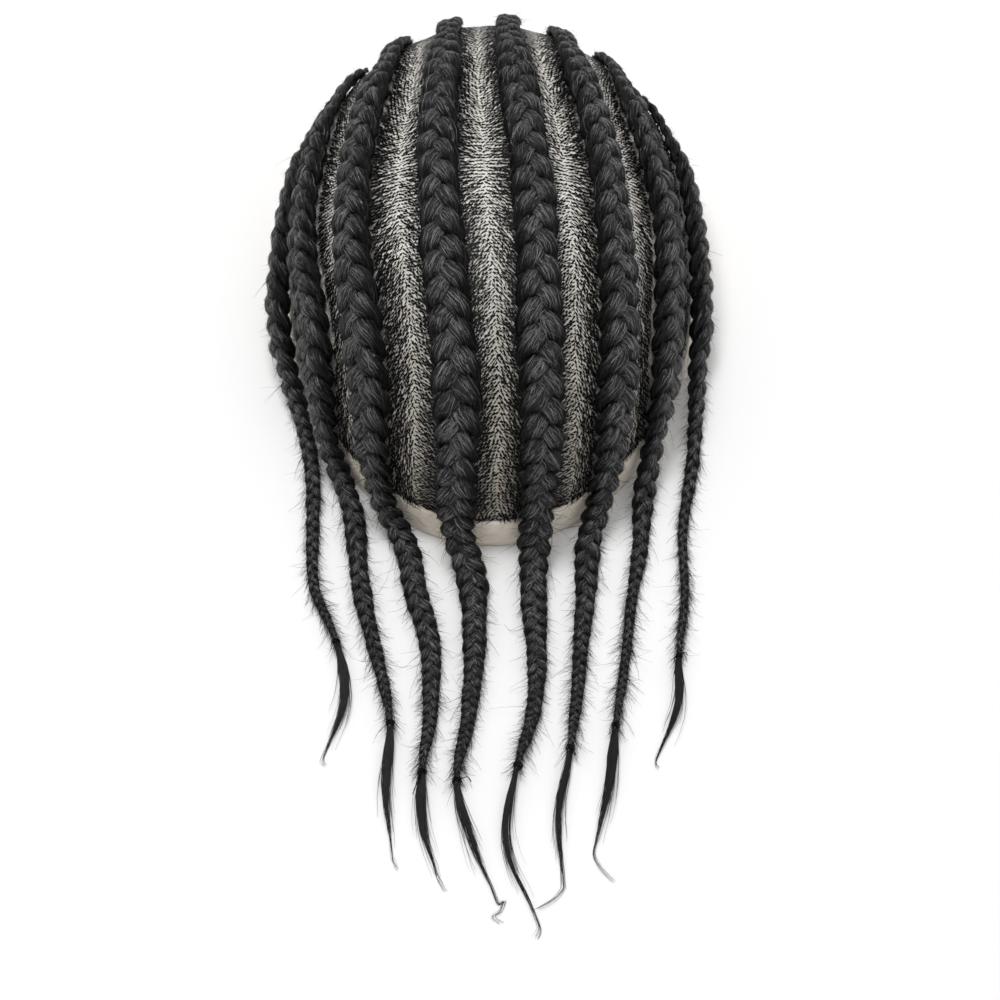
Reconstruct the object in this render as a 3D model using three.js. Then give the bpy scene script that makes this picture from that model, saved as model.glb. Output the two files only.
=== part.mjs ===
// A braided lace toupee at rest on a flat surface: an open domed lace base, a bare strip round its rim, and
// eight raised cornrows that run over the dome from the far hairline and lie in front of it as free plaits,
// each bound near its end with thread and ending in a loose tail. Lengths are millimetres, +Z is up, -Y is
// where the free plaits lie, and the origin is under the middle of the whole piece, on the surface.
import * as THREE from 'three';

// Base: an upright half ellipsoid, open below and a little fuller on its far half
const baseLength = 186; // along Y, over the outside of the rim
const baseWidth = 134; // along X
const baseHeight = 70; // from the surface to the top of the lace
const farFullness = 0.055; // how much wider the far half is than the ellipsoid, at most
const laceWall = 1.1;
const stripHeight = 14; // bare strip at the rim
const stripWall = 1.4;
const seam = 0.3; // clear gap between neighbouring pieces

// Braids
const braidWidth = 16; // widest cornrow, on the front of the dome
const plaitLength = 84; // from the rim to the tie, in a braid whose run is 1
const tailLength = 40; // from the tie to the tip, in a braid whose tail is 1
const tailWidth = 4.2; // widest part of a loose tail
const tipWidth = 0.8;
const peelLength = 19; // stretch on each side of the rim in which a braid leaves the dome
const surfaceGap = 0.3; // what lies on the surface is this far above it

// Thread ties
const tieLength = 2.4;
const threadWall = 0.8;
const plaitedEnd = 1.5; // the last lump ends this far above the middle of the tie, of tieLength

// Shares of a braid's own width
const farFlatness = 0.46; // thickness near the hairline
const cornrowFlatness = 0.56; // thickness on the rest of the dome
const plaitFlatness = 0.72; // thickness of the free plait
const lumpPitch = 0.74; // distance from one lump to the next on the same side
const hairlineShare = 0.52; // width near the hairline, of the braid's full width
const backShare = 0.76; // width on the back of the dome, of the full width
const crownShare = 0.88; // width across the crown, of the full width
const innerBulge = 0.8; // half width on the side between two lumps, of a lump's own
const innerRise = 0.7; // height on that side, of a lump's own
const startShare = 0.6; // width at the very start, of the width at the hairline
const flareShare = 1.3; // width where the plaited stretch runs into the tie, of the neck's width
const bendReach = 0.42; // handles of the bend off the dome, of the straight way across it

// Shares of the way over the dome
const narrowEnd = 0.19; // up to here a braid is as narrow as at the hairline
const backPlace = 0.27; // where it has its width for the back of the dome

// A braid's section: half widths of its flat underside and of its crest, and how far below the middle line
// it is widest, of its depth
const undersideShare = 0.56;
const crestShare = 0.52;
const widestDrop = 0.1;

// A loose tail: share of its length, and its width there as a share of tailWidth
const tailShape = [[0.3, 1], [0.6, 0.75]];

// A thread tie's section: share of threadWall outwards, and share of tieLength along the plait
const tieShape = [[0, -0.5], [0.6, -0.5], [1, -0.2], [1, 0.2], [0.6, 0.5], [0, 0.5], [0, -0.5]];

// How finely the solids are faceted
const rimSides = 40;
const domeRows = 7;
const tieSides = 8;
const tailRings = 6;

// How finely a route is worked out: steps between two of its set places, and spacing in the bend
const domeSteps = 24;
const surfaceSteps = 12;
const bendStep = 2;

// One row for each braid, from left to right.
// far, near: degrees round the rim, from +Y and from -Y, where the braid begins, just above the strip,
// and where it leaves the dome
// back, crown, front: degrees to the side of the dome's ridge, halfway to the hairline, at the top and
// halfway to the near rim
// full: width on the dome, of braidWidth; rim, half, neck: widths at the rim, halfway along the plait and
// at the tie, of braidWidth; peel: how early the braid leaves the dome, of peelLength
// run: plait length, of plaitLength; sway0 to sway4: sideways place of the plait at the rim and at each
// quarter of its run, of plaitLength
// tail: tail length, of tailLength; bend, tip: sideways way of the tail at its middle and at its tip, of
// tailLength
const columns = [
  'far', 'back', 'crown', 'front', 'near', 'full', 'rim', 'half', 'neck', 'peel',
  'run', 'sway0', 'sway1', 'sway2', 'sway3', 'sway4', 'tail', 'bend', 'tip',
];
const braids = [
  [-46, -67, -73, -78, -58, 0.88, 0.36, 0.28, 0.12, 1.3, 0.92, -0.05, 0, 0.01, 0.02, 0.11, 0.94, 0.07, -0.08],
  [-36, -55, -57, -57, -41, 0.92, 0.48, 0.39, 0.14, 1, 0.99, 0, 0.02, 0.05, 0.11, 0.16, 1.03, -0.03, 0.03],
  [-23, -34, -37, -39, -25, 1, 0.55, 0.46, 0.16, 1, 1.01, 0.03, 0.05, 0.11, 0.12, 0.09, 0.81, 0.01, 0.13],
  [-10, -14, -13, -11, -8, 1, 0.68, 0.45, 0.15, 1, 0.95, 0.03, 0.05, 0.05, 0.03, -0.01, 0.94, 0.12, 0.31],
  [5, 6, 10, 16, 10, 1, 0.66, 0.43, 0.16, 1, 0.9, 0.01, 0.02, 0.03, 0.02, -0.04, 1.21, -0.08, 0.15],
  [17, 26, 31, 40, 25, 0.96, 0.6, 0.35, 0.15, 1, 0.92, 0.01, 0.02, 0, -0.02, -0.05, 1.03, -0.09, -0.06],
  [30, 44, 51, 58, 41, 0.9, 0.5, 0.22, 0.13, 1.1, 1, 0.03, 0.04, 0, -0.03, -0.07, 0.97, -0.06, -0.18],
  [45, 68, 72, 79, 60, 0.8, 0.35, 0.2, 0.11, 1.5, 1.01, 0.09, 0.07, 0.03, 0.03, 0, 0.84, -0.03, -0.2],
].map((row) => Object.fromEntries(columns.map((name, i) => [name, row[i]])));

const radians = THREE.MathUtils.degToRad;
const lerp = THREE.MathUtils.lerp;
const up = new THREE.Vector3(0, 0, 1);
const halfAxes = new THREE.Vector3(baseWidth / 2, baseLength / 2, baseHeight);

// Points and normals of the dome, from directions on the unit sphere

function rimDirection(azimuth) {
  return new THREE.Vector3(Math.sin(azimuth), Math.cos(azimuth), 0);
}

function domeDirection(sideways, latitude) {
  const across = Math.cos(latitude);
  return new THREE.Vector3(Math.sin(sideways) * across, Math.sin(latitude), Math.cos(sideways) * across);
}

// Width of the dome, of the ellipsoid's, at a place y on the unit sphere
function fullness(y) {
  return 1 + farFullness * 4 * Math.max(y, 0) ** 2 * (1 - y * y);
}

function domePoint(direction) {
  const point = direction.clone().multiply(halfAxes);
  point.x *= fullness(direction.y);
  return point;
}

function domeNormal(direction) {
  return direction.clone().divide(halfAxes).normalize();
}

// Catmull-Rom curve through a few chosen points, as equal steps between each pair
function smoothPath(points, stepsEach) {
  const first = points[0].clone().multiplyScalar(2).sub(points[1]);
  const last = points.at(-1).clone().multiplyScalar(2).sub(points.at(-2));
  const all = [first, ...points, last];
  const path = [];
  for (let i = 1; i < all.length - 2; i += 1) {
    const [before, from, to, after] = all.slice(i - 1, i + 3);
    const steps = i === all.length - 3 ? stepsEach + 1 : stepsEach;
    for (let k = 0; k < steps; k += 1) {
      const t = k / stepsEach;
      path.push(new THREE.Vector3(
        ...['x', 'y', 'z'].map((a) => 0.5 * (2 * from[a] + (to[a] - before[a]) * t
          + (2 * before[a] - 5 * from[a] + 4 * to[a] - after[a]) * t * t
          + (3 * from[a] - before[a] - 3 * to[a] + after[a]) * t * t * t)),
      ));
    }
  }
  return path;
}

// Value at distance s of a list of [distance, value] pairs, straight between them
function profile(knots, s) {
  for (let i = 1; i < knots.length; i += 1) {
    const [s0, v0] = knots[i - 1];
    const [s1, v1] = knots[i];
    if (s <= s1) return lerp(v0, v1, THREE.MathUtils.clamp((s - s0) / (s1 - s0), 0, 1));
  }
  return knots.at(-1)[1];
}

// A polyline that can be read at any distance along it, for its place, its direction and the way it faces
class Route {
  constructor(points, normals) {
    this.points = points;
    this.normals = normals;
    this.distances = [0];
    for (let i = 1; i < points.length; i += 1) {
      this.distances.push(this.distances[i - 1] + points[i].distanceTo(points[i - 1]));
    }
    this.length = this.distances.at(-1);
  }

  at(s) {
    const clamped = THREE.MathUtils.clamp(s, 0, this.length);
    const found = this.distances.findIndex((d) => d > clamped);
    const i = found < 1 ? this.points.length - 1 : found;
    const t = (clamped - this.distances[i - 1]) / (this.distances[i] - this.distances[i - 1]);
    const place = this.points[i - 1].clone().lerp(this.points[i], t);
    const before = this.points[Math.max(i - 2, 0)];
    const after = this.points[Math.min(i + 1, this.points.length - 1)];
    const along = after.clone().sub(before).normalize();
    const facing = this.normals[i - 1].clone().lerp(this.normals[i], t);
    const across = along.clone().cross(facing).normalize();
    return { place, along, across, out: across.clone().cross(along) };
  }
}

// Widths of one braid where they are set, in millimetres
function braidSizes(row) {
  const full = braidWidth * row.full;
  const neck = braidWidth * row.neck;
  return {
    hairline: full * hairlineShare,
    back: full * backShare,
    crown: full * crownShare,
    front: full,
    rim: braidWidth * row.rim,
    half: braidWidth * row.half,
    neck,
    tieRadius: neck / 2 + seam + threadWall,
  };
}

// The middle line of one braid: over the dome, away from it round the rim, and along the surface
function braidRoute(row) {
  const sizes = braidSizes(row);
  const hairlineHeight = (stripHeight + seam + sizes.hairline / 2) / baseHeight;
  const hairline = rimDirection(radians(row.far)).multiplyScalar(Math.sqrt(1 - hairlineHeight ** 2));
  hairline.z = hairlineHeight;
  const nearRim = rimDirection(radians(180 - row.near));
  const directions = smoothPath([
    hairline,
    domeDirection(radians(row.back), Math.asin(hairline.y) / 2),
    domeDirection(radians(row.crown), 0),
    domeDirection(radians(row.front), Math.asin(nearRim.y) / 2),
    nearRim,
  ], domeSteps).map((direction) => direction.normalize());

  // Widths by share of the way over the dome
  const domeWidths = [
    [0, sizes.hairline], [narrowEnd, sizes.hairline], [backPlace, sizes.back], [0.5, sizes.crown],
    [0.75, sizes.front], [1, sizes.rim],
  ];
  const domeFlatness = [[narrowEnd, farFlatness], [backPlace, cornrowFlatness]];
  const domePath = directions.map((direction, i) => {
    const share = i / (directions.length - 1);
    const rise = seam + profile(domeWidths, share) * profile(domeFlatness, share) / 2;
    return domePoint(direction).addScaledVector(domeNormal(direction), rise);
  });
  const dome = new Route(domePath, directions.map(domeNormal));
  const peelRun = peelLength * row.peel;
  const peel = dome.distances.findIndex((d) => d > dome.length - peelRun);

  // The plait on the surface
  const rim = domePoint(nearRim);
  const run = plaitLength * row.run;
  const stand = (width) => surfaceGap + width * plaitFlatness / 2;
  const sways = [row.sway0, row.sway1, row.sway2, row.sway3, row.sway4].map((share) => share * plaitLength);
  const tailRun = tailLength * row.tail;
  const tailSways = [row.bend, row.tip].map((share) => sways[4] + share * tailLength);
  const tieStand = surfaceGap + sizes.tieRadius;
  const tailStand = surfaceGap + tailWidth * plaitFlatness / 2;
  const plan = [
    [rim.x + sways[0], rim.y, stand(sizes.rim)],
    [rim.x + sways[1], rim.y - run * 0.25, stand(lerp(sizes.rim, sizes.half, 0.5))],
    [rim.x + sways[2], rim.y - run * 0.5, stand(sizes.half)],
    [rim.x + sways[3], rim.y - run * 0.75, stand(lerp(sizes.half, sizes.neck, 0.5))],
    [rim.x + sways[4], rim.y - run, tieStand],
    [rim.x + tailSways[0], rim.y - run - tailRun * 0.5, tailStand],
    [rim.x + tailSways[1], rim.y - run - tailRun, surfaceGap + tipWidth * plaitFlatness / 2],
  ].map((place) => new THREE.Vector3(...place));
  const surfacePath = smoothPath(plan, surfaceSteps);
  const surface = new Route(surfacePath, surfacePath.map(() => up));
  const landing = surface.distances.findIndex((d) => d > peelRun);

  // The bend between them, tangent to both
  const from = dome.at(dome.distances[peel]);
  const to = surface.at(surface.distances[landing]);
  const reach = from.place.distanceTo(to.place) * bendReach;
  const bend = new THREE.CubicBezierCurve3(
    from.place,
    from.place.clone().addScaledVector(from.along, reach),
    to.place.clone().addScaledVector(to.along, -reach),
    to.place,
  );
  const bendSteps = Math.ceil(bend.getLength() / bendStep);
  const bendPoints = bend.getPoints(bendSteps).slice(1, -1);
  const bendNormals = bendPoints.map((_, i) => from.out.clone().lerp(up, (i + 1) / bendSteps).normalize());

  const route = new Route(
    [...dome.points.slice(0, peel + 1), ...bendPoints, ...surface.points.slice(landing)],
    [...dome.normals.slice(0, peel + 1), ...bendNormals, ...surface.normals.slice(landing)],
  );
  const onDome = (share) => dome.length * share;
  const onSurface = (quarters) => route.length - surface.length + surface.distances[surfaceSteps * quarters];
  const rimPlace = route.distances[peel + Math.round(bendSteps / 2)];
  return { route, sizes, onDome, rimPlace, half: onSurface(2), tie: onSurface(4) };
}

// A closed body through rings of points, with a fan over each end
function loft(rings) {
  const sides = rings[0].length;
  const points = rings.flat();
  const faces = [];
  for (let r = 0; r + 1 < rings.length; r += 1) {
    for (let k = 0; k < sides; k += 1) {
      const a = r * sides + k;
      const b = r * sides + ((k + 1) % sides);
      faces.push(a, b, b + sides, a, b + sides, a + sides);
    }
  }
  const start = points.length;
  points.push(middleOf(rings[0]), middleOf(rings.at(-1)));
  for (let k = 0; k < sides; k += 1) {
    const next = (k + 1) % sides;
    const end = (rings.length - 1) * sides;
    faces.push(start, next, k, start + 1, end + k, end + next);
  }
  const geometry = new THREE.BufferGeometry().setFromPoints(points);
  geometry.setIndex(faces);
  geometry.computeVertexNormals();
  return geometry;
}

function middleOf(ring) {
  return ring.reduce((sum, p) => sum.add(p), new THREE.Vector3()).divideScalar(ring.length);
}

// Six-sided section of hair: left and right are half widths, riseLeft and riseRight the heights of its top
function section({ place, across, out }, left, right, drop, riseLeft, riseRight) {
  return [
    [right, -widestDrop * drop], [undersideShare * right, -drop], [-undersideShare * left, -drop],
    [-left, -widestDrop * drop], [-crestShare * left, riseLeft], [crestShare * right, riseRight],
  ].map(([u, v]) => place.clone().addScaledVector(across, u).addScaledVector(out, v));
}

// The same on both sides
function evenSection(frame, width, depth) {
  return section(frame, width / 2, width / 2, depth / 2, depth / 2, depth / 2);
}

function braidGeometry(row) {
  const { route, sizes, onDome, rimPlace, half, tie } = braidRoute(row);
  const widths = [
    [0, sizes.hairline * startShare], [sizes.hairline, sizes.hairline], [onDome(narrowEnd), sizes.hairline],
    [onDome(backPlace), sizes.back], [onDome(0.5), sizes.crown], [onDome(0.75), sizes.front],
    [rimPlace, sizes.rim], [half, sizes.half], [tie - tieLength, sizes.neck * flareShare],
  ];
  const flatness = [
    [onDome(narrowEnd), farFlatness], [onDome(backPlace), cornrowFlatness],
    [rimPlace - peelLength, cornrowFlatness], [rimPlace + peelLength, plaitFlatness],
  ];
  const rings = [];

  // Plaited stretch: one ring for each lump, which swells to the left and to the right in turn
  const plaited = tie - tieLength * plaitedEnd;
  let side = 1;
  for (let s = 0; s < plaited; s += profile(widths, s) * lumpPitch / 2) {
    const width = profile(widths, s);
    const drop = width * profile(flatness, s) / 2;
    const left = (side < 0 ? 1 : innerBulge) * width / 2;
    const right = (side > 0 ? 1 : innerBulge) * width / 2;
    const riseLeft = (side < 0 ? 1 : innerRise) * drop;
    const riseRight = (side > 0 ? 1 : innerRise) * drop;
    rings.push(section(route.at(s), left, right, drop, riseLeft, riseRight));
    side = -side;
  }

  // Round neck inside the tie
  const hexagonDepth = sizes.neck * Math.sqrt(3) / 2;
  for (const s of [tie - tieLength, tie + tieLength]) {
    rings.push(evenSection(route.at(s), sizes.neck, hexagonDepth));
  }

  // Loose tail
  const loose = route.length - tie - tieLength;
  const middleWidths = tailShape.map(([share, width]) => [share, width * tailWidth]);
  const tailWidths = [[0, sizes.neck], ...middleWidths, [1, tipWidth]];
  for (let i = 1; i <= tailRings; i += 1) {
    const width = profile(tailWidths, i / tailRings);
    const frame = route.at(tie + tieLength + loose * i / tailRings);
    rings.push(evenSection(frame, width, width * plaitFlatness));
  }
  return loft(rings);
}

// Thread wound round a plait's neck: a barrel-shaped ring
function tieMesh(row) {
  const { route, sizes, tie } = braidRoute(row);
  const inner = sizes.neck / 2 + seam;
  const outline = tieShape.map(([outwards, along]) => (
    new THREE.Vector2(inner + outwards * threadWall, along * tieLength)));
  const mesh = new THREE.Mesh(new THREE.LatheGeometry(outline, tieSides), thread);
  const { place, along } = route.at(tie);
  mesh.quaternion.setFromUnitVectors(new THREE.Vector3(0, 1, 0), along);
  mesh.position.copy(place);
  return mesh;
}

// Ring of points at one height round the dome, inset from the outside by the wall
function ellipseRing(height, wall) {
  const across = Math.sqrt(1 - (height / (baseHeight - wall)) ** 2);
  return Array.from({ length: rimSides }, (_, k) => {
    const direction = rimDirection(-2 * Math.PI * k / rimSides);
    return new THREE.Vector3(
      direction.x * (halfAxes.x - wall) * across * fullness(direction.y * across),
      direction.y * (halfAxes.y - wall) * across,
      height,
    );
  });
}

// The domed lace: inner rings from the top down to the edge, then outer rings up again
function laceGeometry() {
  const edge = stripHeight + seam;
  const skin = (wall) => {
    const top = baseHeight - wall;
    const lowest = Math.asin(edge / top);
    return Array.from({ length: domeRows }, (_, i) => {
      const angle = lerp(lowest, Math.PI / 2, i / domeRows);
      return ellipseRing(top * Math.sin(angle), wall);
    });
  };
  const rings = [...skin(laceWall).reverse(), ...skin(0)];
  const geometry = loft(rings);
  const position = geometry.getAttribute('position');
  position.setZ(rings.length * rimSides, baseHeight - laceWall);
  position.setZ(rings.length * rimSides + 1, baseHeight);
  geometry.computeVertexNormals();
  return geometry;
}

// The bare strip at the rim: a ring with flat edges
function stripGeometry() {
  const corners = [[0, 0], [stripHeight, 0], [stripHeight, stripWall], [0, stripWall]];
  const rings = corners.map(([height, wall]) => ellipseRing(height, wall));
  const points = rings.flat();
  const faces = [];
  rings.forEach((_, r) => {
    const below = ((r + 1) % rings.length) * rimSides;
    for (let k = 0; k < rimSides; k += 1) {
      const next = (k + 1) % rimSides;
      const a = r * rimSides;
      faces.push(a + k, a + next, below + next, a + k, below + next, below + k);
    }
  });
  const geometry = new THREE.BufferGeometry().setFromPoints(points);
  geometry.setIndex(faces);
  geometry.computeVertexNormals();
  return geometry;
}

// Materials
function material(name, color, roughness) {
  return new THREE.MeshStandardMaterial({ name, color, roughness, metalness: 0 });
}

const lace = material('lace', 0x96928c, 0.8);
const film = material('edge_film', 0xc9b493, 0.5);
const hair = material('hair', 0x17161a, 0.45);
const thread = material('thread', 0x0d0d0f, 0.7);

// Assembly
function named(name, mesh) {
  mesh.name = name;
  return mesh;
}

const pieces = new THREE.Group();
pieces.add(named('lace_base', new THREE.Mesh(laceGeometry(), lace)));
pieces.add(named('edge_strip', new THREE.Mesh(stripGeometry(), film)));
braids.forEach((row, i) => {
  pieces.add(named(`braid_${i + 1}`, new THREE.Mesh(braidGeometry(row), hair)));
  pieces.add(named(`tie_${i + 1}`, tieMesh(row)));
});

// The origin is under the middle of the whole piece
const whole = new THREE.Box3().setFromObject(pieces, true);
const middle = whole.getCenter(new THREE.Vector3());
pieces.position.set(-middle.x, -middle.y, -whole.min.z);

const toupee = new THREE.Group();
toupee.add(pieces);
export default toupee;
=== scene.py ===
"""The looks of a braided lace toupee lying on a pale surface.

The construction (base, strip, routes of the braids, places of the ties) comes from the frame and from the same
formulas and table as the solids. Here every braid is plaited from three strands with hairs lying on them, and
the lace gets its net and the hairs drawn from it into the braids. Lengths are metres.
"""

import math

import bpy
import numpy as np
from mathutils import Matrix, Vector


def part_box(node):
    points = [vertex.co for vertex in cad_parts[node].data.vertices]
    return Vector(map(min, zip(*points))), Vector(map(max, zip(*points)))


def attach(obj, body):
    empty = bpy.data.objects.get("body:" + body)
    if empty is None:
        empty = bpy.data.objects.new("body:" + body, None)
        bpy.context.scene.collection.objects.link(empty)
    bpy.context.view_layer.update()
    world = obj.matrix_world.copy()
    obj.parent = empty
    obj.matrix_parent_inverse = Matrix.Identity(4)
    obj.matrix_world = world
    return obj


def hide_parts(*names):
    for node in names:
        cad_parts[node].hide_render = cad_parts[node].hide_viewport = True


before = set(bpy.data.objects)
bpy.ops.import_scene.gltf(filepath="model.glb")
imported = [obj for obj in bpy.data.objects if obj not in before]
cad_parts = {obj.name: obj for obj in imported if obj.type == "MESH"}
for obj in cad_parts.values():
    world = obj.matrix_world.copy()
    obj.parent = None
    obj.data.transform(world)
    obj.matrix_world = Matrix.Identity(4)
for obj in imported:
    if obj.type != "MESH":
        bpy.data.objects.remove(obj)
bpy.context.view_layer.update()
rng = np.random.default_rng(21)
MM = 0.001

# The base, read from the frame
strip_low, strip_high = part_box("edge_strip")
BASE = np.array([(strip_low.x + strip_high.x) / 2, (strip_low.y + strip_high.y) / 2, 0.0])
HALF = np.array([
    (strip_high.x - strip_low.x) / 2, (strip_high.y - strip_low.y) / 2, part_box("lace_base")[1].z,
])
STRIP_HEIGHT = strip_high.z
FAR_FULLNESS = 0.055
STRIP_WALL = 1.4 * MM
LACE_WALL = 1.1 * MM
SEAM = 0.3 * MM

# Braids
BRAID_WIDTH = 16 * MM
PLAIT_LENGTH = 84 * MM
TAIL_LENGTH = 40 * MM
TAIL_WIDTH = 4.2 * MM
TIP_WIDTH = 0.8 * MM
PEEL_LENGTH = 19 * MM
SURFACE_GAP = 0.3 * MM
TIE_LENGTH = 2.4 * MM
THREAD_WALL = 0.8 * MM
FAR_FLATNESS = 0.46
CORNROW_FLATNESS = 0.56
PLAIT_FLATNESS = 0.72
HAIRLINE_SHARE = 0.52
BACK_SHARE = 0.76
CROWN_SHARE = 0.88
NARROW_END = 0.19
BACK_PLACE = 0.27
START_SHARE = 0.6
FLARE_SHARE = 1.3
BEND_REACH = 0.42
DOME_STEPS = 24
SURFACE_STEPS = 12
BEND_STEP = 2 * MM

# One row for each braid, from left to right; the columns mean what they mean for the solids
COLUMNS = (
    "far", "back", "crown", "front", "near", "full", "rim", "half", "neck", "peel",
    "run", "sway0", "sway1", "sway2", "sway3", "sway4", "tail", "bend", "tip",
)
BRAIDS = [dict(zip(COLUMNS, row)) for row in (
    (-46, -67, -73, -78, -58, 0.88, 0.36, 0.28, 0.12, 1.3, 0.92, -0.05, 0, 0.01, 0.02, 0.11, 0.94, 0.07, -0.08),
    (-36, -55, -57, -57, -41, 0.92, 0.48, 0.39, 0.14, 1, 0.99, 0, 0.02, 0.05, 0.11, 0.16, 1.03, -0.03, 0.03),
    (-23, -34, -37, -39, -25, 1, 0.55, 0.46, 0.16, 1, 1.01, 0.03, 0.05, 0.11, 0.12, 0.09, 0.81, 0.01, 0.13),
    (-10, -14, -13, -11, -8, 1, 0.68, 0.45, 0.15, 1, 0.95, 0.03, 0.05, 0.05, 0.03, -0.01, 0.94, 0.12, 0.31),
    (5, 6, 10, 16, 10, 1, 0.66, 0.43, 0.16, 1, 0.9, 0.01, 0.02, 0.03, 0.02, -0.04, 1.21, -0.08, 0.15),
    (17, 26, 31, 40, 25, 0.96, 0.6, 0.35, 0.15, 1, 0.92, 0.01, 0.02, 0, -0.02, -0.05, 1.03, -0.09, -0.06),
    (30, 44, 51, 58, 41, 0.9, 0.5, 0.22, 0.13, 1.1, 1, 0.03, 0.04, 0, -0.03, -0.07, 0.97, -0.06, -0.18),
    (45, 68, 72, 79, 60, 0.8, 0.35, 0.2, 0.11, 1.5, 1.01, 0.09, 0.07, 0.03, 0.03, 0, 0.84, -0.03, -0.2),
)]


# Length of a lump as a share of the braid's width: at five places over the dome, and for each free plait
DOME_PITCH = (0.95, 0.95, 0.66, 0.6, 0.53)
PLAIT_PITCH = (0.8, 0.7, 0.6, 0.52, 0.52, 0.62, 0.8, 1.0)


# Vectors and curves

def unit(vectors):
    return vectors / np.maximum(np.linalg.norm(vectors, axis=-1, keepdims=True), 1e-12)


def dome_direction(sideways, latitude):
    across = np.cos(latitude)
    return np.stack([np.sin(sideways) * across, np.sin(latitude), np.cos(sideways) * across], axis=-1)


def rim_direction(azimuth):
    return np.array([math.sin(azimuth), math.cos(azimuth), 0.0])


def fullness(y):
    """Width of the dome, of the ellipsoid's, at a place y on the unit sphere."""
    return 1 + FAR_FULLNESS * 4 * np.maximum(y, 0) ** 2 * (1 - y ** 2)


def dome_point(direction, lift=0.0):
    """Point of the dome in a direction on the unit sphere, lifted along the normal."""
    point = direction * HALF
    point[..., 0] *= fullness(direction[..., 1])
    return BASE + point + unit(direction / HALF) * np.asarray(lift)[..., None]


def smooth_path(points, steps):
    """Catmull-Rom curve through a few chosen points, in equal steps between each pair."""
    points = np.asarray(points, float)
    ends = (2 * points[0] - points[1], 2 * points[-1] - points[-2])
    knots = np.vstack([ends[0], points, ends[1]])
    pieces = []
    for i in range(1, len(knots) - 2):
        a, b, c, d = knots[i - 1:i + 3]
        last = i == len(knots) - 3
        t = np.arange(steps + last)[:, None] / steps
        pieces.append(0.5 * (
            2 * b + (c - a) * t + (2 * a - 5 * b + 4 * c - d) * t ** 2 + (3 * b - a - 3 * c + d) * t ** 3))
    return np.vstack(pieces)


def smoothed(values, span):
    """Running mean over span samples, with the ends held."""
    padded = np.pad(values, (span, span), mode="edge")
    return np.convolve(padded, np.ones(2 * span + 1) / (2 * span + 1), mode="valid")


class Route:
    """A polyline that can be read at any distance along it."""

    def __init__(self, points, normals):
        self.points, self.normals = points, normals
        gaps = np.linalg.norm(np.diff(points, axis=0), axis=1)
        self.distances = np.concatenate([[0.0], np.cumsum(gaps)])
        self.length = self.distances[-1]

    def read(self, values, s):
        return np.stack([np.interp(s, self.distances, values[:, axis]) for axis in range(3)], axis=-1)

    def place(self, s):
        return self.read(self.points, s)

    def frame(self, s, reach=1.5 * MM):
        """Place, direction along, direction across and direction out at distances s."""
        along = unit(self.place(s + reach) - self.place(s - reach))
        across = unit(np.cross(along, self.read(self.normals, s)))
        return self.place(s), along, across, np.cross(across, along)


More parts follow.
